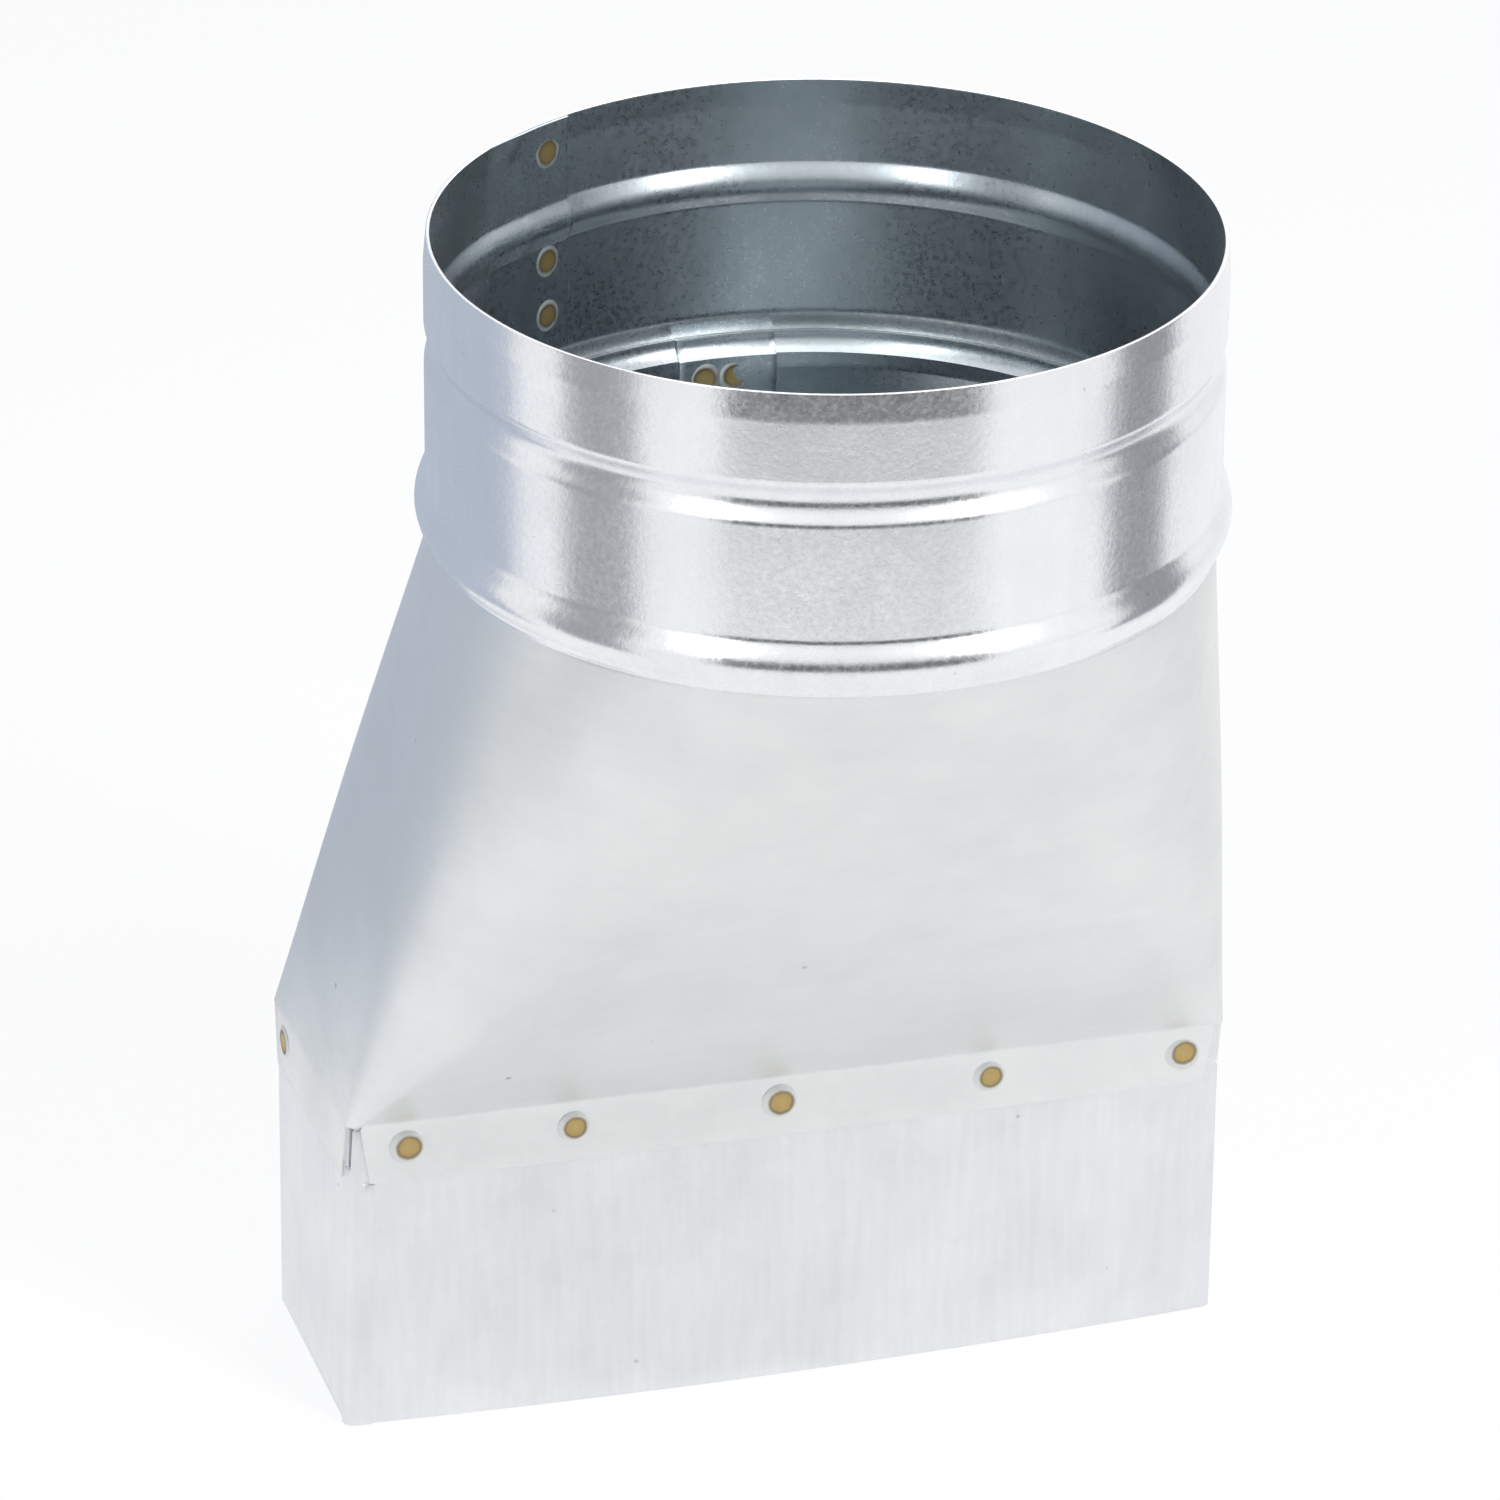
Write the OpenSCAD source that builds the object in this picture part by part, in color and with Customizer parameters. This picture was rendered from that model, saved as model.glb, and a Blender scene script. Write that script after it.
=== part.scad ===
// Flat duct adapter: a rectangular duct end below, a round collar above,
// and a square-to-round transition between them, all folded from thin sheet.
// +Z is up along the collar. The origin lies under the collar, at the lower edge.

/* [Sheet] */
// Thickness of the sheet metal
sheet_t = 0.6; // [0.5:0.1:0.8]
// Slack between the neck and the collar rolled over it
fit_gap = 0.05; // [0.03:0.01:0.1]

/* [Round collar] */
// Outer radius of the plain collar wall
collar_r = 62.2; // [56:0.1:68]
// Height of the collar from its lower edge to its rim
collar_h = 49.5; // [44:0.5:70]
// Height of the crimped lip at the rim
lip_h = 4.5; // [3:0.5:7]
// How far the lip leans in at the rim
lip_in = 0.4; // [0.2:0.1:0.8]
// Distance of the groove's middle below the rim
groove_drop = 17.9; // [13:0.1:22]
// Width of the groove along the wall
groove_w = 6.0; // [5:0.2:7]
// Depth of the groove
groove_in = 1.4; // [0.8:0.1:1.8]
// Height of the bead's middle above the collar's lower edge
bead_up = 4.8; // [4.6:0.1:7]
// Width of the bead along the wall
bead_w = 7.4; // [6.6:0.2:8]
// How far the bead stands out of the wall
bead_out = 1.7; // [1.3:0.1:2.2]
// Direction of the free edge of the collar's lap, from +X
lap_edge_deg = 115.4; // [100:0.2:140]
// Width of the collar's lap along the wall
lap_w = 11; // [9:0.5:14]
// Distance of the lap's upper weld below the rim
lap_weld_top = 5.2; // [4:0.2:8]
// Distance of the lap's middle weld below the rim
lap_weld_mid = 24; // [23.5:0.5:26]
// Distance of the lap's lower weld below the rim
lap_weld_low = 33.5; // [31:0.5:35]

/* [Transition] */
// Height from the front fold to the top of the transition
cone_h = 105; // [90:1:140]
// Bare neck between the transition and the collar's lower edge
neck_bare = 0.8; // [0.4:0.2:3]
// Height of the flaps folded down over the rectangular end
flap_h = 10.5; // [9:0.5:14]
// How far each flap's corner is set in along the fold
flap_inset = 0.7; // [0.4:0.1:1.5]
// How much further each flap's corner is set in at the flap's lower edge
flap_taper = 1.8; // [1:0.1:3]
// Width of the back seam's lap
seam_w = 16.5; // [12:0.5:20]
// Place of the back seam's free edge along X
seam_x = -5.9; // [-12:0.1:0]

/* [Rectangular end] */
// Outer width of the rectangular end
duct_w = 150; // [140:1:170]
// Outer depth of the rectangular end
duct_d = 50; // [44:1:60]
// Height from the lower edge to the front fold
duct_h = 56; // [45:1:80]
// Outer radius of the folded corners
corner_r = 1.5; // [1.2:0.1:2.5]
// Width of the lap at the front left corner
tab_w = 4.2; // [3.5:0.1:6]
// Depth of the relief slits at the upper corners
slit_h = 8; // [5:0.5:8.5]
// Width of the relief slits
slit_w = 0.8; // [0.6:0.1:1.2]

/* [Spot welds] */
// Diameter of a weld mark
weld_d = 4; // [3:0.5:5]
// Depth of a weld mark
weld_in = 0.15; // [0.1:0.05:0.2]
// Number of welds along the front flap and the back flap
weld_n = 5; // [3:1:7]
// Distance of the outer welds from the flap's upper corner
weld_end = 8.5; // [6:0.5:14]
// Distance of the flaps' welds below the fold
weld_drop = 4.5; // [3:0.1:5.5]
// Distance between the back seam's two welds
seam_weld_gap = 5; // [4:0.2:7]
// Distance of the back seam's first weld from the seam's free edge
seam_weld_in = 4.4; // [3:0.2:5]
// Distance of the back seam's welds below the top of the transition
seam_weld_drop = 2.2; // [1.8:0.2:8]

/* [Hidden] */
round_fn = 128;
arc_steps = 18;
corner_steps = 5;
flare_steps = 4;
arc_fn = 64;
// how far a cutter runs on past the faces it cuts
past = 1;

// heights above the lower edge
neck_z = duct_h + cone_h;
collar_z = neck_z + neck_bare;
rim_z = collar_z + collar_h;
bead_z = collar_z + bead_up;
groove_z = rim_z - groove_drop;

// radii of the nested walls
collar_in = collar_r - sheet_t;
neck_r = collar_in - fit_gap;
neck_in = neck_r - sheet_t;

// the back of the transition drops straight down, flush with the neck
back_y = neck_r - sheet_t;
front_y = back_y - duct_d;
duct_y = (back_y + front_y) / 2;

// arc radius of a rolled bead from its width and its height
function arc_r(w, h) = (w * w / 4 + h * h) / (2 * h);
bead_arc = arc_r(bead_w, bead_out);
groove_arc = arc_r(groove_w, groove_in);
bead_c = collar_r + bead_out - bead_arc;
groove_c = collar_r - groove_in + groove_arc;
neck_arc = bead_arc - sheet_t - fit_gap;

// the lap's angle, its slant where it runs out into the wall, and the angle that takes
lap_deg = lap_w / collar_in * 180 / PI;
lap_in = collar_in - sheet_t;
lap_slant = 6;
runout_deg = acos(lap_in * cos(lap_slant) / collar_in) - lap_slant + past;

weld_ball = arc_r(weld_d, weld_in);

// a quarter arc of radius r round [cx, cy], from angle a, in n steps
function arc_pts(cx, cy, r, a, n) =
    [for (i = [0:n]) [cx + r * cos(a + 90 * i / n), cy + r * sin(a + 90 * i / n)]];

// outline of the rectangular end grown by g, with arcs of n steps at its corners
function duct_pts(g, n) =
    let (x = duct_w / 2 - corner_r, y = duct_d / 2 - corner_r, r = corner_r + g)
    concat(
        arc_pts(x, duct_y + y, r, 0, n),
        arc_pts(-x, duct_y + y, r, 90, n),
        arc_pts(-x, duct_y - y, r, 180, n),
        arc_pts(x, duct_y - y, r, 270, n));

// the points of a flat outline at height z
function at_z(pts, z) = [for (p = pts) [p.x, p.y, z]];

module duct_outline(g) {
    polygon(duct_pts(g, corner_steps));
}

// Section of the collar's sheet between two depths under its outer face, from
// the height low up to the rim, with the groove and the leaning lip.
module sheet_section(from, to, low) {
    outer = collar_r - from;
    inner = collar_r - to;
    difference() {
        union() {
            polygon([
                [inner, low],
                [outer, low],
                [outer, rim_z - lip_h],
                [outer - lip_in, rim_z],
                [inner - lip_in, rim_z],
                [inner, rim_z - lip_h]]);
            intersection() {
                translate([groove_c, groove_z])
                    circle(r = groove_arc + to, $fn = arc_fn);
                translate([collar_r - groove_w, collar_z])
                    square([groove_w, collar_h]);
            }
        }
        translate([groove_c, groove_z])
            circle(r = groove_arc + from, $fn = arc_fn);
    }
}

// section of the collar's wall, with the bead near its lower edge
module collar_section() {
    difference() {
        union() {
            sheet_section(0, sheet_t, collar_z);
            intersection() {
                translate([bead_c, bead_z])
                    circle(r = bead_arc, $fn = arc_fn);
                translate([collar_in, collar_z])
                    square([bead_arc, collar_h]);
            }
        }
        translate([bead_c, bead_z])
            circle(r = bead_arc - sheet_t, $fn = arc_fn);
    }
}

// The collar's second layer where the strip is lapped, half sunk into the wall.
// Beyond the lap it slants out into the wall.
module lap_layer() {
    rotate([0, 0, lap_edge_deg + lap_deg])
        difference() {
            rotate([0, 0, -lap_deg])
                rotate_extrude(angle = lap_deg + runout_deg, $fn = round_fn)
                    sheet_section(sheet_t / 2, 2 * sheet_t, bead_z + bead_w / 2);
            translate([lap_in, 0, collar_z])
                rotate([0, 0, -lap_slant])
                    translate([-collar_r, 0, 0])
                        cube([collar_r, collar_r, collar_h + past]);
        }
}

// a shallow round dent, pressed along -X into a wall whose face is at x = 0
module weld_mark() {
    translate([weld_ball - weld_in, 0, 0])
        sphere(r = weld_ball, $fn = arc_fn);
}

module collar() {
    color("lightsteelblue")
        difference() {
            union() {
                rotate_extrude($fn = round_fn)
                    collar_section();
                lap_layer();
            }
            for (drop = [lap_weld_top, lap_weld_mid, lap_weld_low])
                rotate([0, 0, lap_edge_deg + lap_deg / 2])
                    translate([lap_in, 0, rim_z - drop])
                        mirror([1, 0, 0])
                            weld_mark();
        }
}

// the neck's surface from the cone to its free edge, as [radius, height] pairs:
// a straight wall of radius r that flares out along the bead's arc
function neck_line(r, arc) =
    let (a = -acos((r - bead_c) / arc))
    concat([[r, neck_z]], [for (i = [0:flare_steps])
        let (b = a * (1 - i / flare_steps)) [bead_c + arc * cos(b), bead_z + arc * sin(b)]]);

// a ring of points of radius p[0] at height p[1]
function ring(p) = [for (i = [0:4 * arc_steps - 1])
    [p[0] * cos(90 * i / arc_steps), p[0] * sin(90 * i / arc_steps), p[1]]];

// Solid inside one surface of the transition: four corner cones with flat
// triangles between them, then the neck's rings. A point of a corner arc joins
// the point of the circle that faces the same way, so each face is flat, as the
// folded sheet is. With a run the form goes straight on past both ends.
module transition_form(g, line, run = 0) {
    n = arc_steps;
    corners = duct_pts(g, n);
    low = run > 0 ? at_z(corners, duct_h - run) : [];
    last = line[len(line) - 1];
    levels = run > 0 ? concat(line, [[last[0], last[1] + run]]) : line;
    rings = [for (p = levels) each ring(p)];
    nb = len(corners);
    nt = 4 * n;
    b = len(low);
    t = b + nb;
    cap = t + len(rings) - nt;
    cones = [for (c = [0:3], i = [0:n - 1])
        let (p = b + c * (n + 1) + i, q = c * n + i)
        [p, t + q, t + (q + 1) % nt, p + 1]];
    flats = [for (c = [1:4])
        [b + c * (n + 1) - 1, t + (c * n) % nt, b + (c * (n + 1)) % nb]];
    low_wall = [for (i = [0:1:b - 1]) [i, b + i, b + (i + 1) % nb, (i + 1) % nb]];
    neck_wall = [for (k = [0:len(levels) - 2], i = [0:nt - 1])
        let (q = t + k * nt, j = (i + 1) % nt) [q + i, q + nt + i, q + nt + j, q + j]];
    ends = [[for (i = [0:nb - 1]) i], [for (i = [nt - 1:-1:0]) cap + i]];
    points = concat(low, at_z(corners, duct_h), rings);
    polyhedron(points, concat(cones, flats, low_wall, neck_wall, ends));
}

// a flap in the XZ plane, its fold at z = 0, tapered toward its lower edge
module flap(w, slack = 0) {
    top = w / 2 - flap_inset + slack;
    low = top - flap_taper;
    translate([0, slack, 0])
        rotate([90, 0, 0])
            linear_extrude(sheet_t + 2 * slack)
                polygon([[-top, slack], [top, slack], [low, -flap_h - slack], [-low, -flap_h - slack]]);
}

module front_flap(slack = 0) {
    translate([0, front_y, duct_h])
        flap(duct_w, slack);
}

module transition() {
    side_x = duct_w / 2;
    weld_z = duct_h - weld_drop;
    weld_step = (duct_w - 2 * flap_inset - 2 * weld_end) / (weld_n - 1);
    weld_x0 = flap_inset + weld_end - duct_w / 2;
    color("gainsboro")
        difference() {
            union() {
                // the sheet, one layer thick, with the seam's second layer at the back
                difference() {
                    transition_form(sheet_t, neck_line(neck_r, neck_arc));
                    difference() {
                        transition_form(0, neck_line(neck_in, neck_arc - sheet_t), run = past);
                        translate([seam_x, back_y / 2, duct_h])
                            cube([seam_w, back_y, rim_z - duct_h]);
                    }
                    transition_form(-sheet_t, neck_line(neck_in - sheet_t, neck_arc - 2 * sheet_t), run = past);
                }
                front_flap();
                translate([0, back_y, duct_h])
                    rotate([0, 0, 180])
                        flap(duct_w);
                for (side = [-1, 1])
                    translate([side * side_x, duct_y, duct_h])
                        rotate([0, 0, 90 * side])
                            flap(duct_d);
            }
            for (i = [0:weld_n - 1]) {
                translate([weld_x0 + i * weld_step, front_y - sheet_t, weld_z])
                    rotate([0, 0, -90])
                        weld_mark();
                translate([weld_x0 + i * weld_step, back_y + sheet_t, weld_z])
                    rotate([0, 0, 90])
                        weld_mark();
            }
            for (side = [-1, 1])
                translate([side * (side_x + sheet_t), back_y - weld_end, weld_z])
                    rotate([0, 0, 90 - 90 * side])
                        weld_mark();
            for (x = [seam_weld_in, seam_weld_in + seam_weld_gap])
                translate([seam_x + x, back_y - sheet_t, neck_z - seam_weld_drop])
                    rotate([0, 0, -90])
                        weld_mark();
        }
}

// the free edge of the folded sleeve, lapped round the front left corner
module corner_lap() {
    r = corner_r + sheet_t;
    translate([r - duct_w / 2, front_y - sheet_t + r])
        polygon(concat(arc_pts(0, 0, r, 180, corner_steps), [[tab_w - r, -r], [tab_w - r, 0]]));
}

module duct_end() {
    color("silver")
        difference() {
            union() {
                linear_extrude(duct_h)
                    duct_outline(0);
                difference() {
                    linear_extrude(duct_h)
                        corner_lap();
                    // the lap is trimmed back where the front flap comes down
                    front_flap(slack = fit_gap);
                }
            }
            translate([0, 0, -past])
                linear_extrude(duct_h + 2 * past)
                    duct_outline(-sheet_t);
            for (sx = [-1, 1])
                for (y = [front_y, back_y])
                    translate([sx * duct_w / 2, y, duct_h])
                        rotate([0, 0, sx * (y == front_y ? -45 : 45)])
                            cube([3 * corner_r, slit_w, 2 * slit_h], center = true);
        }
}

collar();
transition();
duct_end();
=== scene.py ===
import math

import bpy
from mathutils import Matrix, Vector


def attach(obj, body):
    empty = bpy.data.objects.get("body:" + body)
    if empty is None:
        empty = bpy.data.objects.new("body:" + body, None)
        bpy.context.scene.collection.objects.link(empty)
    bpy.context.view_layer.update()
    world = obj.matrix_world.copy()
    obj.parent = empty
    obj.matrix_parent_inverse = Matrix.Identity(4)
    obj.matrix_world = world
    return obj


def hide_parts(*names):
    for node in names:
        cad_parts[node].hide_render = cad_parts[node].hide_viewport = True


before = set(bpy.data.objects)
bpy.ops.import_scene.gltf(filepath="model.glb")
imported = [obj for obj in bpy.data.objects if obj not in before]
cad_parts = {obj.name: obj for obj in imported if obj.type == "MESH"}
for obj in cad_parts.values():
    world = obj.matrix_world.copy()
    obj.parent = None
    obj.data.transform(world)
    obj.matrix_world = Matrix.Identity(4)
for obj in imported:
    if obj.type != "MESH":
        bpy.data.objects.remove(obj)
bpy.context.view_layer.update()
scene = bpy.context.scene
mm = 0.001
print("frame loaded:", sorted(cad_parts))


# the sizes that several pieces share, in millimetres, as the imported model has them
part = {
    "sheet": 0.6,
    "ductWidth": 150.0,
    "ductDepth": 50.0,
    "ductHeight": 56.0,
    "cornerRadius": 1.5,
    "coneHeight": 105.0,
    "neckRadius": 61.55,
    "collarLow": 161.8,
    "rim": 211.3,
    "collarRadius": 62.2,
}
part["neckHeight"] = part["ductHeight"] + part["coneHeight"]
part["backY"] = part["neckRadius"] - part["sheet"]
part["frontY"] = part["backY"] - part["ductDepth"]
part["middleY"] = (part["backY"] + part["frontY"]) / 2


# the photograph's viewing angle
view = {
    "place": (-338.1, -1068.3, 690.0),
    "yaw": 17.0,
    "pitch": 26.91,
    "roll": -0.65,
    "lens": 189.72,
    "sensor": 36.0,
}


def aimCamera():
    yaw, pitch, roll = (math.radians(view[k]) for k in ("yaw", "pitch", "roll"))
    ahead = Vector((math.sin(yaw) * math.cos(pitch), math.cos(yaw) * math.cos(pitch), -math.sin(pitch)))
    right = Vector((math.cos(yaw), -math.sin(yaw), 0))
    down = ahead.cross(right)
    right, down = (right * math.cos(roll) + down * math.sin(roll),
                   down * math.cos(roll) - right * math.sin(roll))
    data = bpy.data.cameras.new("photoCamera")
    data.sensor_width = view["sensor"]
    data.lens = view["lens"]
    data.clip_start = 0.05
    data.clip_end = 50
    camera = bpy.data.objects.new("photoCamera", data)
    scene.collection.objects.link(camera)
    turn = Matrix((right, -down, -ahead)).transposed().to_4x4()
    camera.matrix_world = Matrix.Translation(Vector(view["place"]) * mm) @ turn
    scene.camera = camera


aimCamera()
print("camera placed")


# materials

def linkTo(tree, value, socket):
    if isinstance(value, bpy.types.NodeSocket):
        tree.links.new(value, socket)
    else:
        socket.default_value = value


def calc(tree, operation, a, b=0.0, c=0.0, clamp=False):
    node = tree.nodes.new("ShaderNodeMath")
    node.operation = operation
    node.use_clamp = clamp
    for value, socket in zip((a, b, c), node.inputs):
        linkTo(tree, value, socket)
    return node.outputs[0]


def noise(tree, coords, scale, detail=3.0, roughness=0.55, stretch=None):
    if stretch:
        mapping = tree.nodes.new("ShaderNodeMapping")
        mapping.inputs["Scale"].default_value = stretch
        tree.links.new(coords, mapping.inputs["Vector"])
        coords = mapping.outputs[0]
    node = tree.nodes.new("ShaderNodeTexNoise")
    node.inputs["Scale"].default_value = scale
    node.inputs["Detail"].default_value = detail
    node.inputs["Roughness"].default_value = roughness
    tree.links.new(coords, node.inputs["Vector"])
    return node.outputs["Fac"]


def mapRange(tree, value, low, high, toLow=0.0, toHigh=1.0, smooth=False):
    node = tree.nodes.new("ShaderNodeMapRange")
    if smooth:
        node.interpolation_type = "SMOOTHSTEP"
    for name, number in (("From Min", low), ("From Max", high), ("To Min", toLow), ("To Max", toHigh)):
        node.inputs[name].default_value = number
    tree.links.new(value, node.inputs["Value"])
    return node.outputs["Result"]


def mixColour(tree, factor, a, b):
    node = tree.nodes.new("ShaderNodeMix")
    node.data_type = "RGBA"
    linkTo(tree, factor, node.inputs["Factor"])
    linkTo(tree, a if isinstance(a, bpy.types.NodeSocket) else (*a, 1), node.inputs["A"])
    linkTo(tree, b if isinstance(b, bpy.types.NodeSocket) else (*b, 1), node.inputs["B"])
    return node.outputs["Result"]


def blankMaterial(name):
    material = bpy.data.materials.new(name)
    material.use_nodes = True
    tree = material.node_tree
    tree.nodes.clear()
    out = tree.nodes.new("ShaderNodeOutputMaterial")
    shader = tree.nodes.new("ShaderNodeBsdfPrincipled")
    tree.links.new(shader.outputs[0], out.inputs["Surface"])
    coords = tree.nodes.new("ShaderNodeTexCoord").outputs["Object"]
    return material, tree, shader, coords


# Galvanised zinc: cloudy patches, streaks along the rolling direction, a fine
# grain that roughens the gloss, and a few dark specks.
def zincMaterial(name, look):
    material, tree, shader, coords = blankMaterial(name)
    patches = noise(tree, coords, look["patchScale"], detail=5, roughness=0.62)
    streaks = noise(tree, coords, 1.0, detail=4, stretch=look["streakStretch"])
    grain = noise(tree, coords, look["grainScale"], detail=4, roughness=0.6)
    cloud = mapRange(tree, patches, 0.36, 0.66)
    streak = mapRange(tree, streaks, 0.34, 0.68)
    dull = calc(tree, "MULTIPLY_ADD", cloud, look["patchShare"], calc(tree, "MULTIPLY", streak, look["streakShare"]))
    colour = mixColour(tree, dull, look["light"], look["dark"])
    cells = tree.nodes.new("ShaderNodeTexVoronoi")
    cells.inputs["Scale"].default_value = look["speckScale"]
    tree.links.new(coords, cells.inputs["Vector"])
    spot = mapRange(tree, cells.outputs["Distance"], 0.02, look["speckSize"], 1.0, 0.0)
    rare = mapRange(tree, noise(tree, coords, 55.0, detail=1), 0.56, 0.6)
    speck = calc(tree, "MULTIPLY", calc(tree, "MULTIPLY", spot, rare), look["speckShare"], clamp=True)
    colour = mixColour(tree, speck, colour, look["speck"])
    tree.links.new(colour, shader.inputs["Base Color"])
    shader.inputs["Metallic"].default_value = look["metallic"]
    rough = calc(tree, "ADD", mapRange(tree, grain, 0.3, 0.7, look["glossy"], look["rough"]),
                 calc(tree, "MULTIPLY", cloud, look["patchRough"]))
    tree.links.new(rough, shader.inputs["Roughness"])
    shader.inputs["Anisotropic"].default_value = look["brushed"]
    if look["brushed"] > 0:
        tangent = tree.nodes.new("ShaderNodeTangent")
        tangent.direction_type = "RADIAL"
        tangent.axis = "Z"
        tree.links.new(tangent.outputs[0], shader.inputs["Tangent"])
        shader.inputs["Anisotropic Rotation"].default_value = 0.25
    height = calc(tree, "ADD", calc(tree, "MULTIPLY", grain, look["grainHeight"]),
                  calc(tree, "MULTIPLY", streaks, look["streakHeight"]))
    height = calc(tree, "MULTIPLY_ADD", patches, look["patchHeight"], height)
    bump = tree.nodes.new("ShaderNodeBump")
    bump.inputs["Strength"].default_value = 1.0
    bump.inputs["Distance"].default_value = mm
    tree.links.new(height, bump.inputs["Height"])
    tree.links.new(bump.outputs[0], shader.inputs["Normal"])
    return material


collarLook = {
    "light": (0.89, 0.90, 0.92), "dark": (0.74, 0.76, 0.78), "speck": (0.35, 0.37, 0.40),
    "patchScale": 45.0, "patchShare": 0.3, "patchRough": 0.05, "patchHeight": 0.05,
    "streakStretch": (260.0, 260.0, 30.0), "streakShare": 0.2, "streakHeight": 0.008,
    "grainScale": 1100.0, "grainHeight": 0.022,
    "speckScale": 160.0, "speckSize": 0.07, "speckShare": 0.35,
    "metallic": 1.0, "glossy": 0.17, "rough": 0.28, "brushed": 0.6,
}
# inside zinc: the same metal painted darker and bluer, as painted shade for the inner faces of collar, transition,
# sleeve and laps
paintedShadeInsideLook = dict(collarLook, light=(0.56, 0.61, 0.64), dark=(0.38, 0.435, 0.47), patchShare=0.6,
                  glossy=0.22, rough=0.34, grainHeight=0.022, speckShare=0.2)
coneLook = {
    "light": (0.87, 0.885, 0.88), "dark": (0.77, 0.79, 0.785), "speck": (0.25, 0.27, 0.28),
    "patchScale": 38.0, "patchShare": 0.5, "patchRough": 0.06, "patchHeight": 0.06,
    "streakStretch": (45.0, 45.0, 420.0), "streakShare": 0.12, "streakHeight": 0.004,
    "grainScale": 900.0, "grainHeight": 0.02,
    "speckScale": 90.0, "speckSize": 0.06, "speckShare": 0.6,
    "metallic": 0.9, "glossy": 0.30, "rough": 0.42, "brushed": 0.0,
}
ductLook = {
    "light": (0.90, 0.91, 0.925), "dark": (0.79, 0.81, 0.83), "speck": (0.3, 0.32, 0.34),
    "patchScale": 50.0, "patchShare": 0.45, "patchRough": 0.05, "patchHeight": 0.03,
    "streakStretch": (700.0, 700.0, 60.0), "streakShare": 0.35, "streakHeight": 0.01,
    "grainScale": 1000.0, "grainHeight": 0.015,
    "speckScale": 120.0, "speckSize": 0.06, "speckShare": 0.5,
    "metallic": 0.88, "glossy": 0.30, "rough": 0.44, "brushed": 0.0,
}
collarZinc = zincMaterial("collarZinc", collarLook)
# the inside materials' darker colour is painted shade, not a different metal
collarInside = zincMaterial("collarInside", paintedShadeInsideLook)
coneZinc = zincMaterial("coneZinc", coneLook)
coneInside = zincMaterial("coneInside", dict(paintedShadeInsideLook, brushed=0.0))
ductZinc = zincMaterial("ductZinc", ductLook)
print("materials made")


# mesh helpers

def newObject(name, points, faces, materials):
    mesh = bpy.data.meshes.new(name)
    mesh.from_pydata([Vector(p) * mm for p in points], [], faces)
    for material in materials:
        mesh.materials.append(material)
    mesh.update()
    thing = bpy.data.objects.new(name, mesh)
    scene.collection.objects.link(thing)
    return thing


# gives a sheet its thickness inwards, with the second material on its inner face, which here is the inside zinc
# darkened as painted shade
def thicken(thing, thickness, edgeRound=0.0):
    solid = thing.modifiers.new("thickness", "SOLIDIFY")
    solid.thickness = thickness * mm
    solid.offset = -1
    solid.use_even_offset = True
    if len(thing.data.materials) > 1:
        solid.material_offset = 1
    if edgeRound:
        soft = thing.modifiers.new("softEdges", "BEVEL")
        soft.width = edgeRound * mm
        soft.segments = 2
        soft.limit_method = "ANGLE"
        soft.angle_limit = math.radians(55)


def freeze(thing, sharpAngle=38):
    graph = bpy.context.evaluated_depsgraph_get()
    mesh = bpy.data.meshes.new_from_object(thing.evaluated_get(graph), depsgraph=graph)
    thing.modifiers.clear()
    thing.data = mesh
    for polygon in mesh.polygons:
        polygon.use_smooth = True
    mesh.set_sharp_from_angle(angle=math.radians(sharpAngle))


def finishPiece(thing, slot, *nodes):
    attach(thing, "root")
    if nodes:
        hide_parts(*nodes)


# The collar's rolled strip, as Geometry Nodes: a grid bent round the axis, whose
# radius follows the bead, the groove and the leaning lip at each height.

def treeInput(tree, name, kind, value=None):
    item = tree.interface.new_socket(name=name, in_out="INPUT", socket_type=kind)
    if value is not None:
        item.default_value = value
    return item.identifier


strip = {
    "From": 0.0, "To": 360.0, "Low": part["collarLow"], "High": part["rim"],
    "Radius": part["collarRadius"],
    "Bead Height": 166.6, "Bead Half": 3.7, "Bead Out": 1.7,
    "Groove Height": 193.4, "Groove Half": 3.0, "Groove In": 1.4,
    "Lip": 4.5, "Lean": 0.4, "Wave": 0.10,
    "Sink From": 400.0, "Sink": 0.0,
}
stripSoftRoot = 1.18


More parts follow.
